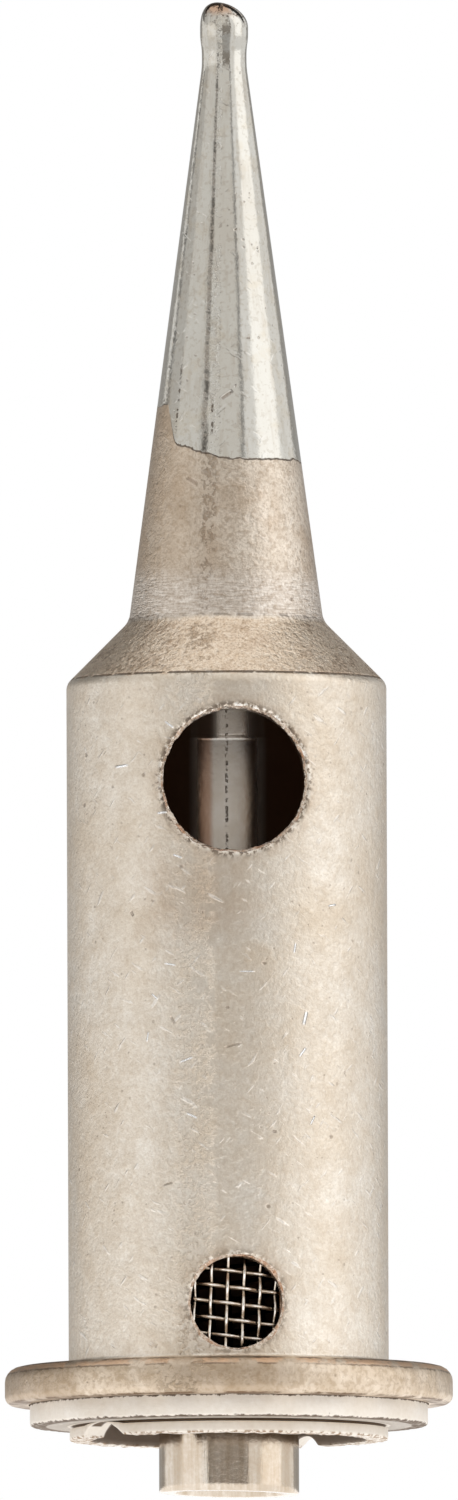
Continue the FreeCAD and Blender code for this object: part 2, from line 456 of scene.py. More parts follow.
def wire_cloth(name, paths, stands_for):
    """Gives the wires a round section, turns them into one mesh and finishes the piece."""
    curve = bpy.data.curves.new(name, "CURVE")
    curve.dimensions = "3D"
    curve.bevel_depth, curve.bevel_resolution, curve.use_fill_caps = wire_radius, 1, True
    for path in paths:
        spline = curve.splines.new("POLY")
        spline.points.add(len(path) - 1)
        for point, place in zip(spline.points, path):
            point.co = (*place, 1)
    holder = bpy.data.objects.new(name, curve)
    mesh = bpy.data.meshes.new_from_object(holder)
    bm = bmesh.new()
    bm.from_mesh(mesh)
    bpy.data.objects.remove(holder)
    bpy.data.curves.remove(curve)
    bpy.data.meshes.remove(mesh)
    bmesh.ops.remove_doubles(bm, verts=bm.verts, dist=1e-5)
    bmesh.ops.recalc_face_normals(bm, faces=bm.faces)
    return finished_piece(bm, name, stands_for, sharp_over=70)


def on_sleeve(turn, bow, height):
    """Point of the sleeve, with turn in radians from the front and the bow of the wire."""
    radius = gauze_radius + bow
    return radius * sin(turn), -radius * cos(turn), height


def leaning(height):
    """How far the uprights have turned at a height, in radians."""
    return lean * (height - window["z"]) / gauze_radius


wires = []
for upright in range(uprights):
    path = []
    steps = round((z_cap - z_pilot_top) / pitch * fineness)
    for step in range(steps + 1):
        height = low_end + (high_end - low_end) * step / steps
        turn = (upright + 0.5) * 2 * pi / uprights + leaning(height)
        row = (height - window["z"]) / pitch + wefts * turn / (2 * pi)
        path.append(on_sleeve(turn, crimp * cos(pi * (row + upright)), height))
    wires.append(path)
for weft in range(wefts):
    path = []
    for step in range(-2 * uprights * fineness, 2 * uprights * fineness + 1):
        turn = 2 * pi / uprights / fineness * step
        height = window["z"] + weft * pitch - fall * turn / (2 * pi)
        if low_end <= height <= high_end:
            column = (turn - leaning(height)) * uprights / (2 * pi) - 0.5
            path.append(on_sleeve(turn, -crimp * cos(pi * (weft + column)), height))
    wires.append(path)
gauze_sleeve = wire_cloth("gauze_sleeve_woven", wires, "gauze_sleeve")

# %% [markdown]
# ## The gauze cap
# A disc of the same cloth closes the top of the sleeve. It can be seen only up the inlet
# tube, so a plain weave of straight wires, cut off at the disc's edge, is enough.

# %% Weave the cap
cap_radius, cap_middle, cap_crimp = 3.1, 6.68, 0.03
wires = []
for across in (False, True):
    for line in range(-7, 8):
        side = line * pitch
        half = sqrt(cap_radius ** 2 - side ** 2)
        steps = round(half / pitch) * fineness
        path = []
        for step in range(-steps, steps + 1):
            along = half * step / steps
            bow = cap_crimp * cos(pi * (along / pitch + line)) * (-1 if across else 1)
            x, y = (side, along) if across else (along, side)
            path.append((x, y, cap_middle + bow))
        wires.append(path)
gauze_cap = wire_cloth("gauze_cap_woven", wires, "gauze_cap")

# %% [markdown]
# ## Colours and small tools for materials
# Colours are written as in a paint program and turned into the linear values that the
# shader wants. The tools below write into one node tree at a time, the one on the desk, and
# place a node and fill its sockets in one line, so that each material can be read like a
# recipe. What leaves a node is a signal that can stand in a formula: `fine * 0.3 + 0.1`
# places a Multiply and an Add node. All patterns are measured in millimetres on the piece
# itself, from Object coordinates.

# %% Tools for nodes
class Desk:
    """Holds the node tree that the tools below write in."""
    tree = None


class Signal:
    """What leaves a socket of a node. Numbers can be calculated with as usual."""

    def __init__(self, socket):
        self.socket = socket

    def __add__(self, other):
        return calc("ADD", self, other)

    def __sub__(self, other):
        return calc("SUBTRACT", self, other)

    def __rsub__(self, other):
        return calc("SUBTRACT", other, self)

    def __mul__(self, other):
        return calc("MULTIPLY", self, other)

    def __truediv__(self, other):
        return calc("DIVIDE", self, other)

    def __rtruediv__(self, other):
        return calc("DIVIDE", other, self)

    def __abs__(self):
        return calc("ABSOLUTE", self)

    __radd__, __rmul__ = __add__, __mul__


def paint(code):
    """Linear colour of a code such as c8b496."""
    parts = [int(code[i:i + 2], 16) / 255 for i in (0, 2, 4)]
    return (*[p / 12.92 if p < 0.04045 else ((p + 0.055) / 1.055) ** 2.4 for p in parts], 1)


def link(signal, socket):
    """Draws a wire from a signal to a socket."""
    Desk.tree.links.new(signal.socket, socket)


def signals_of(node):
    """The outputs of a node as signals, by number and by name."""
    signals = [Signal(socket) for socket in node.outputs]
    return dict(enumerate(signals)) | {signal.socket.name: signal for signal in signals}


def plug_in(node, plugs):
    """Fills the sockets of a node with signals or plain values, and returns its signals."""
    for name, value in plugs.items():
        if isinstance(value, Signal):
            link(value, node.inputs[name])
        else:
            node.inputs[name].default_value = value
    return signals_of(node)


def add(kind, plugs, **settings):
    """Places a node, changes its settings and fills its sockets."""
    node = Desk.tree.nodes.new("ShaderNode" + kind)
    for name, value in settings.items():
        setattr(node, name, value)
    return plug_in(node, plugs)


def use(effect, plugs):
    """Places a node group and fills its sockets."""
    node = Desk.tree.nodes.new("ShaderNodeGroup")
    node.node_tree = effect
    return plug_in(node, plugs)


def calc(operation, *values, clamp=False):
    """One step of arithmetic."""
    return add("Math", dict(enumerate(values)), operation=operation, use_clamp=clamp)[0]


def either(*masks):
    """The largest of several masks."""
    largest = masks[0]
    for mask in masks[1:]:
        largest = calc("MAXIMUM", largest, mask)
    return largest


def step_up(value, low, high, least=0.0, most=1.0):
    """Rises smoothly from least to most while the value goes from low to high."""
    plugs = {0: value, 1: low, 2: high, 3: least, 4: most}
    return add("MapRange", plugs, interpolation_type="SMOOTHSTEP")[0]


def over(colour, *layers):
    """Lays colours over a colour, each with its mask. A colour may be written as a code."""
    for mask, above in layers:
        below, above = (paint(c) if isinstance(c, str) else c for c in (colour, above))
        colour = add("Mix", {0: mask, 6: below, 7: above}, data_type="RGBA")[2]
    return colour


def between(mask, low, high):
    """A value that goes from low to high with the mask."""
    return add("Mix", {0: mask, 2: low, 3: high})[0]


def stretched(point, x, y, z):
    """The point with its three coordinates multiplied."""
    return add("VectorMath", {0: point, 1: (x, y, z)}, operation="MULTIPLY")[0]


def soft_noise(point, scale, detail, roughness=0.5):
    """Plain noise from 0 to 1."""
    plugs = {"Vector": point, "Scale": scale, "Detail": detail, "Roughness": roughness}
    return add("TexNoise", plugs)[0]


def new_effect(name, inputs, outputs):
    """Starts a node group. Inputs have a name and a value, and outputs are plain numbers."""
    group = bpy.data.node_groups.new(name, "ShaderNodeTree")
    for label, value in inputs.items():
        kind = "NodeSocketVector" if isinstance(value, tuple) else "NodeSocketFloat"
        socket = group.interface.new_socket(name=label, in_out="INPUT", socket_type=kind)
        socket.default_value = value
    for label in outputs:
        group.interface.new_socket(name=label, in_out="OUTPUT", socket_type="NodeSocketFloat")
    inlet, outlet = group.nodes.new("NodeGroupInput"), group.nodes.new("NodeGroupOutput")
    Desk.tree = group
    return group, signals_of(inlet), outlet.inputs


def report_nodes(what):
    """Prints how large the tree on the desk has grown."""
    print(f"{what}: {len(Desk.tree.nodes)} nodes")


ORIGIN = (0, 0, 0)
BAR_INPUTS = {"Angle": 0.0, "Height": 0.0, "Radius": 4.0}

# %% [markdown]
# ## Effects that several metals share
# Seven small node groups do the work of all the metals:
# - *Round the bar* tells where a point is on a turned piece: angle, height and radius.
# - *Mottling* is a soft cloudy change, for stains and uneven plating.
# - *Pits* are the pinholes of a thin plating, here and there in a random net of cells.
# - *Turning marks* are fine rings, noise squeezed along the axis.
# - *Nick* is one short scratch or dent at a chosen place.
# - *Flecks* are many faint scratches that all lie one way, anywhere on the piece.
# - *Seam line* is a thin broken line round the piece, such as the edge of a coating.

# %% Group: round the bar
round_the_bar, take, give = new_effect(
    "Round the bar", {"Point": ORIGIN}, ["Angle", "Height", "Radius"])
axes = add("SeparateXYZ", {0: take["Point"]})
turn = calc("ARCTAN2", axes[0], axes[1] * -1)
link(calc("DEGREES", turn), give["Angle"])
link(axes[2], give["Height"])
link(calc("SQRT", axes[0] * axes[0] + axes[1] * axes[1]), give["Radius"])
report_nodes(Desk.tree.name)


def on_bar(point):
    """Angle, height and radius of a point on a turned piece."""
    where = use(round_the_bar, {"Point": point})
    return where["Angle"], where["Height"], where["Radius"]


# %% Group: mottling
mottling, take, give = new_effect(
    "Mottling", {"Point": ORIGIN, "Size": 1.0, "Contrast": 1.0}, ["Amount"])
scale = 1 / take["Size"]
cloud = soft_noise(take["Point"], scale, 4.0, 0.62)
spread = (cloud - 0.5) * take["Contrast"]
link(calc("ADD", spread, 0.5, clamp=True), give["Amount"])
report_nodes(Desk.tree.name)


def mottled(point, size, contrast):
    """The mottling at a point, with its size in millimetres."""
    return use(mottling, {"Point": point, "Size": size, "Contrast": contrast})["Amount"]


# %% Group: pits
pits, take, give = new_effect(
    "Pits", {"Point": ORIGIN, "Spacing": 0.3, "Size": 0.05, "Share": 0.3}, ["Mask"])
scale = 1 / take["Spacing"]
bent = add("TexNoise", {"Vector": take["Point"], "Scale": 5.0, "Detail": 1.0})[1]
nudge = add("VectorMath", {0: bent, 1: (0.08, 0.08, 0.08), 2: take["Point"]},
            operation="MULTIPLY_ADD")[0]
cells = add("TexVoronoi", {"Vector": nudge, "Scale": scale})
distance = cells[0] * take["Spacing"]
lot = add("SeparateColor", {0: cells[1]})
chosen = calc("LESS_THAN", lot[0], take["Share"])
size_here = take["Size"] * (lot[1] * 0.8 + 0.4)
link(step_up(distance, size_here, size_here * 0.4) * chosen, give["Mask"])
report_nodes(Desk.tree.name)

# %% Group: turning marks
turning_marks, take, give = new_effect(
    "Turning marks", {"Point": ORIGIN, "Pitch": 0.05, "Contrast": 1.0}, ["Amount"])
scale = 1 / take["Pitch"]
rings = soft_noise(stretched(take["Point"], 0.16, 0.16, 1.0), scale, 2.0)
spread = (rings - 0.5) * take["Contrast"]
link(calc("ADD", spread, 0.5, clamp=True), give["Amount"])
report_nodes(Desk.tree.name)

# %% Group: nick
nick, take, give = new_effect(
    "Nick", BAR_INPUTS | {"At angle": 0.0, "At height": 0.0, "Turn": 0.0, "Length": 0.3,
                          "Width": 0.05}, ["Mask"])
aside = calc("RADIANS", take["Angle"] - take["At angle"]) * take["Radius"]
raised = take["Height"] - take["At height"]
tilt = calc("RADIANS", take["Turn"])
cosine, sine = calc("COSINE", tilt), calc("SINE", tilt)
along = aside * cosine + raised * sine
beside = raised * cosine + aside * sine * -1
end = abs(along) / take["Length"]
flank = abs(beside) / take["Width"]
link(step_up(end, 0.5, 0.25) * step_up(flank, 0.5, 0.15), give["Mask"])
report_nodes(Desk.tree.name)

# %% Group: flecks
flecks, take, give = new_effect("Flecks", BAR_INPUTS | {"Turn": 0.0}, ["Mask"])
aside = calc("RADIANS", take["Angle"]) * take["Radius"]
unrolled = add("CombineXYZ", {0: aside, 1: take["Height"]})[0]
turned = add("VectorRotate", {"Vector": unrolled, "Angle": calc("RADIANS", take["Turn"])},
             rotation_type="Z_AXIS")[0]
drawn = soft_noise(stretched(turned, 0.25, 1, 1), 5.5, 2.0)
link(step_up(drawn, 0.65, 0.74), give["Mask"])
report_nodes(Desk.tree.name)

# %% Group: seam line
seam_line, take, give = new_effect(
    "Seam line", {"Point": ORIGIN, "Off": 0.0, "Width": 0.05, "Breaks": 0.5}, ["Mask"])
wander = soft_noise(take["Point"], 9.0, 2.0)
width_here = take["Width"] * (wander * 1.4 + 0.3)
line = step_up(abs(take["Off"]) / width_here, 1.0, 0.3)
gap_noise = soft_noise(take["Point"], 3.5, 3.0)
low = take["Breaks"] * 0.3 + 0.25
whole = step_up(gap_noise, low, low + 0.12)
link(line * whole, give["Mask"])
report_nodes(Desk.tree.name)

# %% [markdown]
# ## How a metal is put together
# Nearly every metal below is a Principled BSDF with Metallic 1. What makes it look used is
# not the colour alone: stains change the roughness too, and pits and scratches change the
# height, so they catch the light. `start_metal` opens such a material and `end_metal` wires
# the colour, the roughness and the height, which is in millimetres.

# %% Start and end of a metal
def start_metal(name):
    """Opens a metal, and returns it with the point on the piece in millimetres."""
    metal = bpy.data.materials.new(name)
    metal.use_nodes = True
    Desk.tree = metal.node_tree
    return metal, stretched(add("TexCoord", {})["Object"], 1000, 1000, 1000)


def end_metal(colour, roughness, height, metallic=1.0):
    """Wires colour, roughness and height into the shader, and returns the shader's sockets."""
    sockets = Desk.tree.nodes["Principled BSDF"].inputs
    link(colour, sockets["Base Color"])
    link(roughness, sockets["Roughness"])
    sockets["Metallic"].default_value = metallic
    bump = add("Bump", {"Height": height, "Strength": 1.0, "Distance": METRES})
    link(bump[0], sockets["Normal"])
    return sockets


def wear(piece, *metals):
    """Gives a piece its materials, slot by slot."""
    for metal in metals:
        piece.data.materials.append(metal)
    print(piece.name, "wears", [metal.name for metal in metals])


# %% [markdown]
# ## The plated skin of the tip body
# The whole outside is one plated bar, so it is one material with zones by height:
# - the flange's rim and the barrel: satin nickel, warm, blotchy and full of pinholes;
# - the shoulder: plating burnt thin, so the copper below warms it;
# - the lower cone: brownish, with turning marks where it meets the shoulder;
# - the upper cone and nose: tinned, greyer and shinier, with a dark edge where the solder
#   stopped. That edge is level at the right, rises to the left and jumps up at one place.
# One material with masks is simpler to keep than five, and its zones can fade or meet in a
# ragged line, which separate materials on separate faces can't do.

# %% Plated skin: zones
skin, point = start_metal("plated_skin")
angle, height, radius = on_bar(point)
broad = mottled(point, 2.6, 2.4)
middling = mottled(point, 0.7, 2.4)
fine = mottled(point, 0.13, 2.6)
finest = mottled(point, 0.055, 3.2)
rings = use(turning_marks, {"Point": point, "Pitch": 0.045, "Contrast": 2.6})["Amount"]

ragged_height = height + (middling * 0.16 - 0.08)
on_shoulder = step_up(ragged_height, 20.38, 20.44) * step_up(ragged_height, 21.95, 21.75)
on_cone = step_up(ragged_height, 21.75, 21.95)
on_rim = step_up(radius, 4.2, 4.6)

# The tinned edge: level at the right and behind, lifted at the left
jump = step_up(angle, -44, -62)
lift = (step_up(angle, 0, -44) * 0.4 + jump) * step_up(angle, -150, -110)
tin_off = height - (middling * 0.14 + 25.78 + lift)
tinned = step_up(tin_off, -0.03, 0.03)
report_nodes("plated skin, zones")

# %% Plated skin: colours
nickel = over("fffbf3", (broad, "efe3d2"), (middling * 0.36, "cdb99f"), (fine * 0.34, "bfa98d"),
              (finest * 0.22, "a78f74"))
# The rim is painted darker in the middle, a painted reflection of the dark front, and darker and
# browner towards the left
rim_shade_and_left_brown = either(step_up(abs(angle + 3), 24, 7), step_up(angle, -40, -52))
rim_nickel = over("e9dac8", (middling, "cbb79e"), (step_up(fine, 0.35, 0.8) * 0.35, "a08768"),
                  (rim_shade_and_left_brown * 0.5, "9f876c"))
# The burnt copper of the shoulder is crumbly, with more dark specks towards its sides
sides = step_up(abs(angle), 12, 55)
speckled = step_up(fine * middling, 0.22, 0.5) * between(sides, 0.12, 0.5)
crumbly = step_up(finest, 0.4, 0.25) * between(sides, 0.3, 0.35)
copper = over("f6e6d2", (fine, "e6cfb4"), (step_up(middling, 0.5, 0.8) * 0.25, "c9a98b"),
              (step_up(finest, 0.5, 0.8) * 0.4, "a58a6e"), (speckled, "7d6650"),
              (crumbly, "fff4e4"))
# A scar of crumbs and dark hollows runs down the front of the bare cone
scar = step_up(abs(angle + 15), 9, 3) * step_up(middling * fine, 0.2, 0.4)
clean_foot = on_cone * step_up(ragged_height, 23.4, 22.5)
scraped = rings * 0.35 + fine * 0.35 + finest * 0.3
bare = over("e9ddce", (middling, "d3c5b4"), (step_up(broad, 0.4, 0.7) * 0.5, "bda58b"),
            (step_up(fine, 0.4, 0.8) * 0.4, "a08970"),
            (step_up(finest, 0.5, 0.8) * 0.25, "8d775f"), (scar * 0.5, "806e5c"),
            (step_up(angle, -5, -40) * 0.5, "b9a38a"),
            (clean_foot, over("fbf3e9", (scraped, "a08b75"))))
# A thin grey line of flux runs up the tinned cone, left of its middle
flux = step_up(abs(angle + (middling * 2.5 + 18.5)), 3.6, 1.0) * step_up(height, 36.2, 35.0)
streaks = soft_noise(stretched(point, 1, 1, 0.07), 5.0, 3.0)
tin = over("d3d1ca", (broad, "c9c4ba"), (step_up(middling, 0.5, 0.9) * 0.35, "c9bda8"),
           (step_up(fine, 0.55, 0.85) * 0.3, "a79c8c"),
           (step_up(streaks, 0.5, 0.7) * 0.3, "b0a595"), (flux * (fine * 0.4 + 0.3), "74695d"))
skin_colour = over(nickel, (on_rim, rim_nickel), (on_shoulder, copper), (on_cone, bare),
                   (tinned, tin))

# Heat stain: reddish brown patches left of the middle, a little below the exhaust hole
patch = step_up(angle, -42, -25) * step_up(angle, 12, -5)
patch *= step_up(height, 13.2, 14.4) * step_up(height, 16.4, 15.2) * (middling * 0.5 + 0.3)
skin_colour = over(skin_colour, (patch * 0.45, "a98a6c"))
# Round both holes the drill has left dark hollows and a warm halo, and bright specks on the burr
# are painted glints, stronger towards the top
axes = add("SeparateXYZ", {0: point})
behind = calc("GREATER_THAN", axes[1], 0) * FAR
for hole, strength in ((exhaust, 1.0), (window, 0.5)):
    above = axes[2] - hole["z"]
    off_rim = calc("SQRT", axes[0] * axes[0] + above * above) - hole["radius"] + behind
    halo = step_up(off_rim, 0.5, 0.05) * middling
    hollows = step_up(off_rim, 0.26, 0.08) * step_up(fine, 0.5, 0.6)
    # Painted glints: bright specks on the burr, stronger towards the top
    burr_glints = step_up(off_rim, 0.2, 0.1) * step_up(fine, 0.42, 0.3)
    burr_glints *= step_up(above, -0.2, 1.2, 0.45, 1.0)
    skin_colour = over(skin_colour, (halo * 0.5, "b2967a"),
                       (hollows * (0.75 * strength), "57463a"), (burr_glints * strength, "fffaf2"))
# The very tip has lost its solder: copper shows, with burnt specks
bald = step_up(height, 36.95, 37.2) * step_up(middling, 0.35, 0.6)
burnt = step_up(height, 36.6, 37.1) * step_up(fine, 0.6, 0.75)
skin_colour = over(skin_colour, (bald * 0.7, "b98a64"), (burnt * 0.7, "4b3b30"))
report_nodes("plated skin, with colours")

# %% Plated skin: lines, pits and nicks
def seam(off, width, breaks):
    """A thin broken line where the distance off is 0."""
    plugs = {"Point": point, "Off": off, "Width": width, "Breaks": breaks}
    return use(seam_line, plugs)["Mask"]


here = {"Angle": angle, "Height": height, "Radius": radius}


def nicks(places):
    """Joins many nicks, each given by its angle, height, turn, length and width."""
    labels = ("At angle", "At height", "Turn", "Length", "Width")
    return either(*[use(nick, here | dict(zip(labels, place)))["Mask"] for place in places])


edge_of_tin = seam(tin_off, 0.035, 0.2) * calc("SUBTRACT", 1, jump, clamp=True)
edge_of_shoulder = seam(height - 20.42, 0.04, 0.3)
edge_of_cone = seam(height - 21.93 + calc("LESS_THAN", radius, 2.0) * FAR, 0.05, 0.7)
# A dotted seam of solder climbs the left side of the tinned cone, and a second one the front
solder_seams = nicks([(-47, 27.5, 90, 2.1, 0.09), (-14, 26.9, 90, 1.1, 0.09)])
solder_seams *= step_up(fine, 0.45, 0.65)
lines = either(edge_of_tin, edge_of_shoulder, solder_seams, edge_of_cone * 0.5)
# The flange's upper edge has a painted highlight, a copper-coloured line between two thin dark
# lines of painted shade, and a dark line of painted shade lies in the corner under the flange:
# height, width, colour, strength
rim_light_and_shade_lines = [
    (3.10, 0.09, "e8bf9c", 0.6), (3.01, 0.03, "6e5848", 0.6), (3.175, 0.03, "6e5848", 0.7),
    (2.27, 0.05, "6a4c2e", 0.85),
]
on_edge = step_up(radius, 5.0, 5.1) * step_up(middling, 0.25, 0.65)
for middle, width, colour, strength in rim_light_and_shade_lines:
    rim_off = abs(fine * 0.03 + height - (middle + 0.015))
    painted_rim_line = step_up(rim_off, width, width * 0.4) * on_edge
    skin_colour = over(skin_colour, (painted_rim_line * strength, colour))

crowd = step_up(broad, 0.35, 0.75) * 0.42 + 0.1
small_pits = use(pits, {"Point": point, "Spacing": 0.2, "Size": 0.045, "Share": crowd})["Mask"]
large_pits = use(pits, {"Point": point, "Spacing": 0.75, "Size": 0.075, "Share": 0.35})["Mask"]
pit = either(small_pits * 0.55, large_pits)

# Scratches that the photograph shows: angle, height, turn, length, width
scratches = [
    (26, 11.75, 75, 0.42, 0.12), (22, 13.5, 80, 0.3, 0.07), (25, 10.9, 50, 0.34, 0.08),
    (-18, 10.7, 20, 0.42, 0.07), (-30, 12.3, -40, 0.26, 0.06), (-16, 9.3, -25, 0.36, 0.07),
    (-33, 11.3, 80, 0.3, 0.06), (-24, 13.1, -10, 0.36, 0.06), (4, 12.9, 0, 0.45, 0.05),
    (-44, 18.1, 5, 0.5, 0.09), (-27, 16.9, 5, 0.3, 0.08), (-24, 19.1, -35, 0.34, 0.07),
    (29, 9.2, 60, 0.3, 0.06), (38, 14.6, 10, 0.3, 0.06), (-21, 15.8, -20, 0.3, 0.07),
]
dents = [
    (-39.5, 14.4, -60, 0.16, 0.1), (-23, 11.7, -60, 0.26, 0.09), (-1, 11.05, 15, 0.5, 0.07),
    (14, 8.9, 0, 0.12, 0.1), (-3, 12.0, 0, 0.12, 0.08), (-28, 25.3, -30, 0.4, 0.16),
    (-2, 27.45, 35, 0.42, 0.14), (20, 28.9, 0, 0.1, 0.08), (-25, 7.6, 15, 0.3, 0.06),
]
bright, dark = nicks(scratches), nicks(dents)
for turn in (32, -48):
    few = use(flecks, here | {"Turn": turn})["Mask"]
    few *= step_up(height, 20.3, 20.0, 0.1, 0.3) * step_up(height, 3.3, 3.5)
    bright = either(bright, few)
skin_colour = over(skin_colour, (lines * 0.8, "5f4f42"), (pit * 0.55, "7a6553"),
                   (bright * 0.9, "ffffff"), (dark * 0.5, "8a7666"))
print("plated skin:", len(scratches), "scratches and", len(dents), "dents placed")

# %% Plated skin: gloss and height
gloss = between(on_rim, 0.38, 0.42)
for zone, level in ((on_shoulder, 0.38), (on_cone, 0.34), (tinned, 0.13)):
    gloss = between(zone, gloss, level)
gloss += (middling * 0.12 - 0.06) + lines * 0.3
gloss = calc("SUBTRACT", gloss, bright * 0.15, clamp=True)
relief = broad * 0.012 + middling * between(tinned, 0.01, 0.003)
relief += fine * between(tinned, between(on_cone, 0.007, 0.01), 0.0009)
relief += finest * between(tinned, 0.002, 0.0004)
relief += rings * (clean_foot * 0.008) + fine * (on_shoulder * 0.008) + scar * (fine * 0.03)
relief += bright * 0.03 - dark * 0.03 - pit * 0.012 - lines * 0.02
end_metal(skin_colour, gloss, relief)
report_nodes("plated skin, finished")

# %% [markdown]
# ## Cut metal at the holes, and the bore
# Where the drill went through, the plating is torn and the copper shows in grains. The bore
# behind is much smoother than the outside: in the photograph it mirrors the bright hole as
# one upright band. That band is only a reflection, so the bore needs a low roughness and
# gets the band for nothing. The reamer's marks run round the bore and smear the reflection
# up and down, so the shader is anisotropic. Beside the band and deep down, the bore is
# painted dark, a painted shade which keeps the rest dark however often the light bounces,
# and a copper-coloured strip at the band's left edge is a painted reflection. A thin line of
# pits runs down the back, and above the reamer's step the wall is painted darker, a painted
# shade that dims and narrows the band there.

# %% Cut metal and bore
cut, point = start_metal("cut_copper")
grain, soft = mottled(point, 0.09, 3.0), mottled(point, 0.5, 2.0)
cut_colour = over("f3e8da", (grain, "a98a6f"), (step_up(soft, 0.5, 0.8) * 0.5, "c98f68"))
end_metal(cut_colour, between(grain, 0.16, 0.3), grain * 0.022)

bore, point = start_metal("smooth_bore")
angle, height, radius = on_bar(point)
cloudy, grain = mottled(point, 0.8, 2.2), mottled(point, 0.1, 2.6)
# Degrees from the middle of the back wall, positive towards the right of the picture
past_back = (180 - abs(angle)) * calc("SIGN", angle)
# A painted reflection: a copper fringe at the left edge of the band
painted_copper_fringe = step_up(past_back, -11, -8) * step_up(past_back, -2, -5)
pit_line = step_up(abs(past_back - 3.0), 0.7, 0.2) * step_up(grain, 0.55, 0.8)
# Painted shade: the wall above the reamer's step is painted darker, the band is narrowed there,
# and beside the band and deep down the bore is painted dark
lead_wall = step_up(height, 19.12, 19.16)
narrowed = either(step_up(past_back, 1, -5), step_up(past_back, 10, 17))
painted_shade = either(step_up(past_back, -8, -14), step_up(past_back, 14, 21),
              narrowed * (lead_wall * 0.8), step_up(height, 14, 12))
bore_colour = over("fbf6ef", (cloudy, "ebe0d0"), (painted_copper_fringe * 0.6, "c08358"),
                   (pit_line * 0.4, "6b5a4b"), (lead_wall * 0.55, "8f7d6b"), (painted_shade, "6b4c36"))
bore_gloss = between(painted_shade, between(cloudy, 0.14, 0.2), 0.6)
sockets = end_metal(bore_colour, bore_gloss, grain * 0.0008 + pit_line * -0.005)
link(1 - painted_shade, sockets["Metallic"])
sockets["Anisotropic"].default_value = 0.9
sockets["Anisotropic Rotation"].default_value = 0.25
wear(tip_body, skin, cut, bore)

# %% [markdown]
# ## Turned steel, drawn steel and wire
# The plug's disc is the palest metal here, dull and even: fine rings, few pits and a cream
# cast, with painted shade in its corners, under it and inside its skirt. The tube was drawn
# through a die, so it is shinier and its marks run up and down. The gauze wire is bright,
# its crests carry a painted highlight, and every side that looks inwards is painted black,
# a painted shade. The radius tells where a crest is, and the normal tells which way a side
# looks.

# %% Turned steel of the plug
turned_steel, point = start_metal("turned_steel")
angle, height, radius = on_bar(point)
cloudy, grain = mottled(point, 1.6, 2.2), mottled(point, 0.14, 2.4)
rings = use(turning_marks, {"Point": point, "Pitch": 0.05, "Contrast": 2.0})["Amount"]
specks = use(pits, {"Point": point, "Spacing": 0.45, "Size": 0.045, "Share": 0.25})["Mask"]
burrs = step_up(height, 1.45, 1.38) * step_up(grain, 0.45, 0.65)
# Painted shade in the corners above and under the disc, on the disc's underside and in the
# groove above the skirt
shaken = grain * 0.07 + height
above_disc = step_up(shaken, 2.27, 2.3) * step_up(radius, 4.7, 4.8)
disc_corner = step_up(shaken, 1.81, 1.77) * step_up(radius, 4.5, 4.6)
under_disc = step_up(shaken, 1.81, 1.77, 0.0, 0.5) * step_up(radius, 4.0, 4.06)
groove = step_up(height, 1.62, 1.65) * step_up(radius, 3.96, 3.9)
painted_corner_shade = either(above_disc, disc_corner, under_disc, groove) * step_up(radius, 3.6, 3.7)
# Painted shade inside the skirt's pocket
inside = step_up(radius, 3.46, 3.42) * step_up(height, 2.0, 1.98)
steel_colour = over("fcf7f0", (cloudy, "f4ece1"), (grain * 0.22, "dccfbd"),
                    (specks * 0.6, "8b7763"), (burrs * 0.8, "9a7448"), (painted_corner_shade * 0.9, "5d4429"),
                    (inside * 0.8, "6b5540"))
steel_relief = rings * 0.001 + grain * 0.0025 - specks * 0.01
end_metal(steel_colour, between(cloudy, 0.62, 0.75), steel_relief)
wear(base_plug, turned_steel)

# %% Drawn steel of the tube
drawn_steel, point = start_metal("drawn_steel")
length_marks = soft_noise(stretched(point, 1, 1, 0.05), 4.0, 4.0, 0.6)
grain, stain = mottled(point, 0.1, 2.4), mottled(point, 0.8, 3.0)
tube_colour = over("e8dfd3", (step_up(length_marks, 0.35, 0.65), "cfc2b1"),
                   (stain * 0.4, "b49c80"), (grain * 0.25, "bda486"))
tube_relief = length_marks * 0.006 + grain * 0.001
end_metal(tube_colour, between(grain, 0.1, 0.18), tube_relief)
wear(inlet_tube, drawn_steel)

# %% Gauze wire
gauze_wire, point = start_metal("gauze_wire")
angle, height, radius = on_bar(point)
grain = mottled(point, 0.08, 2.6)
# Painted highlight on the crests, where the wire bows outwards
painted_crest_highlight = step_up(radius, gauze_radius + 0.03, gauze_radius + 0.085)
# Painted shade on every side that looks inwards, and on wires nearer the axis: the normal
# against the direction away from the axis
normal = add("NewGeometry", {})["True Normal"]
outwards = add("VectorMath", {0: stretched(point, 1, 1, 0)}, operation="NORMALIZE")[0]
facing = add("VectorMath", {0: normal, 1: outwards}, operation="DOT_PRODUCT")[1]
painted_shade = either(step_up(facing, 0.1, -0.1), step_up(radius, 3.0, 2.9))
wire_colour = over("ece2d4", (grain, "c0ad96"), (painted_crest_highlight, "fbf6ee"), (painted_shade, "1d1713"))
wire_gloss = between(painted_shade, between(painted_crest_highlight, 0.22, 0.14), 0.6)
end_metal(wire_colour, wire_gloss, grain * 0.002)
wear(gauze_sleeve, gauze_wire)
wear(gauze_cap, gauze_wire)

# %% [markdown]
# ## The catalyst
# The catalyst keeps its CAD shape, because only its top can be seen, from above through the
# exhaust hole. It is a sleeve of ceramic fibre soaked with a dark metal coat: not shiny,
# full of short crossing fibres, which noise stretched two ways imitates.

# %% Fibre of the catalyst
fibre, point = start_metal("catalyst_fibre")
strands = either(soft_noise(stretched(point, 1, 1, 9), 1.6, 4.0),
                 soft_noise(stretched(point, 7, 7, 1), 1.2, 4.0))
fibre_colour = over("2f2a26", (step_up(strands, 0.45, 0.75), "7b6f62"))
end_metal(fibre_colour, between(strands, 0.95, 0.75), strands * 0.12, metallic=0.0)
catalyst = frame["nodes"]["catalyst_sleeve"]
catalyst.data.materials.clear()
wear(catalyst, fibre)

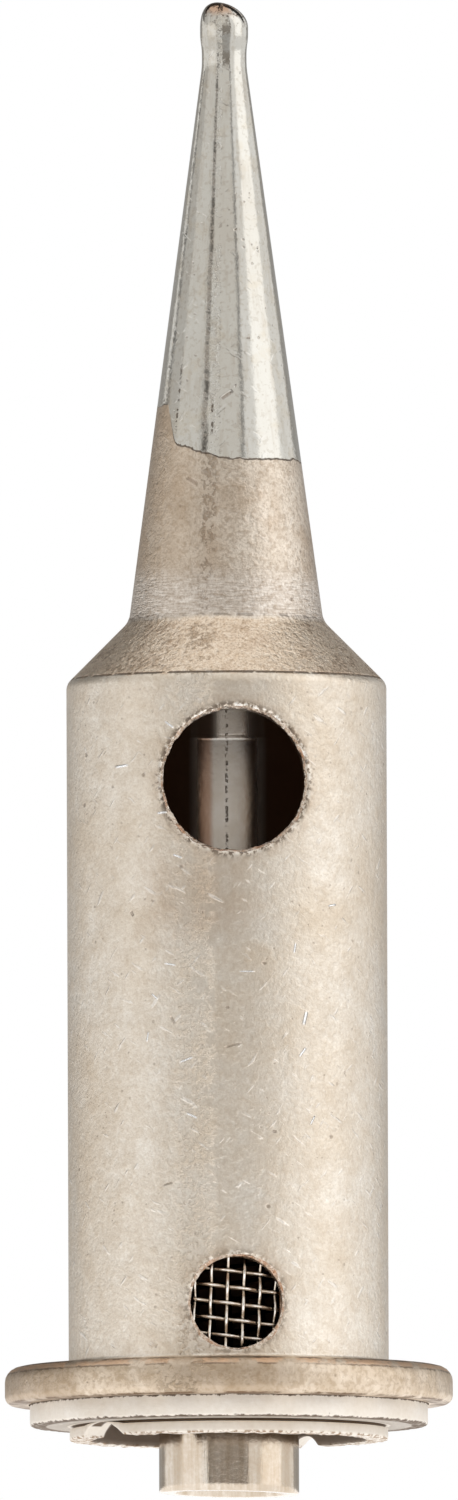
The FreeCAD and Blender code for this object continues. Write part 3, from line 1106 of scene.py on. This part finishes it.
# %% [markdown]
# ## The studio
# Polished metal shows its surroundings, so the studio matters as much as the material. The
# world is plain white, and each dark stripe in the metal is the mirror image of a card:
# - in front, a dark one makes the calm grey band down the middle of the barrel, and a
#   lighter one above it does the same for the cone, which leans back and so looks higher;
# - beside them stand two narrow ones, for the thin lines at the edges of that band;
# - behind, three cards dim the flanks of the barrel, the cone and the shoulder;
# - high at the left, one greys the left side of the cone.
# The camera doesn't see the cards, and they cast no shadow. A soft lamp stands at each side,
# the right one stronger. Mirrored in the metal, the floor is bright close to the part and
# dim further out in front, or the grey band would be washed out from below. The camera can
# look through the floor, because the photograph was taken from slightly under the part.

# %% World and lamps
world = bpy.data.worlds.new("studio")
bpy.context.scene.world = world
world.use_nodes = True
Desk.tree = world.node_tree
rays = add("LightPath", {})
shows = either(rays["Is Camera Ray"], rays["Is Glossy Ray"], rays["Is Transmission Ray"])
background = Desk.tree.nodes["Background"]
background.inputs["Color"].default_value = (1, 1, 1, 1)
link(between(shows, 0.9, 1.0), background.inputs["Strength"])


def at_side(azimuth, distance, height):
    """Point round the object: azimuth in degrees from the front towards the right."""
    turn = radians(azimuth)
    return Vector((distance * sin(turn), -distance * cos(turn), height))


def soft_lamp(name, azimuth, power):
    """A large lamp at one side, aimed at the middle of the part."""
    lamp = bpy.data.lights.new(name, "AREA")
    lamp.shape, lamp.size, lamp.size_y, lamp.energy = "RECTANGLE", 1.1, 1.6, power
    holder = placed(name, lamp)
    holder.location = at_side(azimuth, 1.3, 0.55)
    aim = Vector((0, 0, 0.02)) - holder.location
    holder.rotation_euler = aim.to_track_quat("-Z", "Y").to_euler()
    holder.visible_camera = False


soft_lamp("lamp_right", 72, 2.8)
soft_lamp("lamp_left", -68, 1.1)

# %% Cards
def sheet(name, paper_name, placing):
    """A sheet of paper, one metre square before it is placed. Its material is on the desk."""
    bm = bmesh.new()
    bmesh.ops.create_grid(bm, x_segments=1, y_segments=1, size=0.5, matrix=placing)
    mesh = bpy.data.meshes.new(name)
    bm.to_mesh(mesh)
    bm.free()
    piece = placed(name, mesh)
    paper = bpy.data.materials.new(paper_name)
    paper.use_nodes = True
    mesh.materials.append(paper)
    Desk.tree = paper.node_tree
    return piece


def card(name, azimuth, width, low, high, level, distance=1.5, colour=(1, 0.985, 0.96, 1)):
    """An upright card that faces the object, as wide as an angle seen from it."""
    across = 2 * distance * tan(radians(width / 2))
    middle = at_side(azimuth, distance, (low + high) / 2)
    cut = Matrix.Diagonal((across, high - low, 1, 1))
    raised = Matrix.Rotation(radians(90), 4, "X")
    facing = Matrix.Rotation(radians(azimuth), 4, "Z")
    piece = sheet(name, name, Matrix.Translation(middle) @ facing @ raised @ cut)
    nodes = Desk.tree.nodes
    nodes.remove(nodes["Principled BSDF"])
    glow = add("Emission", {"Color": colour, "Strength": level})[0]
    link(glow, nodes["Material Output"].inputs["Surface"])
    piece.visible_camera = piece.visible_shadow = False


card("card_front", -5, 66, -0.9, 0.3, 0.32, colour=(1, 0.92, 0.84, 1))
card("card_front_high", -5, 66, 0.3, 2.8, 0.82)
card("card_edge_left", -37, 6, -0.9, 2.8, 0.2, distance=1.4)
card("card_edge_right", 26, 5, 0.25, 2.8, 0.25, distance=1.4)
card("card_back", 178, 94, -0.6, 0.4, 0.4)
card("card_high_back", 192, 100, 0.4, 1.0, 0.2)
card("card_top_back", 174, 132, 1.0, 3.3, 0.04)
card("card_high_left", -77, 83, 0.3, 2.2, 0.62, distance=1.7)
print("cards stand round the object")

# %% Floor
floor_width = 6.0
sheet("floor", "floor_paper", Matrix.Scale(floor_width, 4))
shader = Desk.tree.nodes["Principled BSDF"]
plain = plug_in(shader, {"Base Color": paint("f4f3f1"), "Roughness": 0.9})[0]
rays = add("LightPath", {})
angle, height, radius = on_bar(add("TexCoord", {})["Object"])
dim = step_up(abs(angle + 5), 35, 29) * step_up(radius, 0.05, 0.09)
level = between(dim, step_up(radius, 0.05, 0.02, 1.0, 1.5), 0.45)
white = add("Emission", {"Strength": level})[0]
paper_seen = add("MixShader", {0: rays["Is Glossy Ray"] * 0.8, 1: plain, 2: white})[0]
below = add("NewGeometry", {})["Backfacing"] * rays["Is Camera Ray"]
clear = add("BsdfTransparent", {})[0]
mixed = add("MixShader", {0: below, 1: paper_seen, 2: clear})[0]
link(mixed, Desk.tree.nodes["Material Output"].inputs["Surface"])
print("floor at height 0")

# %% [markdown]
# ## The camera
# The photograph was taken from far away: the edges of the barrel stay parallel, and every
# ring of the part, from the foot to the nose, curves upwards by the same share. No nearby
# camera does that, so this one is orthographic. It shows 37.5 mm in the picture's height,
# which is 40 pixels to the millimetre at 1500 pixels. It looks up by about three degrees
# and, because the holes sit a little right of the axis, stands three degrees to the left.

# %% Camera
azimuth, elevation, roll = radians(-3), radians(-3.1), radians(-0.2)
back = Vector((sin(azimuth) * cos(elevation),
               -cos(azimuth) * cos(elevation), sin(elevation)))
right = Vector((cos(azimuth), sin(azimuth), 0))
target = Vector((0, 0, 0.01866)) + right * 0.00006
lens = bpy.data.cameras.new("camera")
lens.type, lens.ortho_scale = "ORTHO", 0.0375
lens.clip_start, lens.clip_end = 0.01, 20
camera = placed("camera", lens)
camera.location = target + back * 0.8
look = (-back).to_track_quat("-Z", "Y").to_matrix() @ Matrix.Rotation(roll, 3, "Z")
camera.rotation_euler = look.to_euler()
bpy.context.scene.camera = camera
print("camera at", [round(c, 4) for c in camera.location])

# %% [markdown]
# ## Closing
# The view transform stays plain, so that a colour comes out as it was written.

# %% Finish
bpy.context.scene.view_settings.view_transform = "Standard"
bpy.context.view_layer.update()
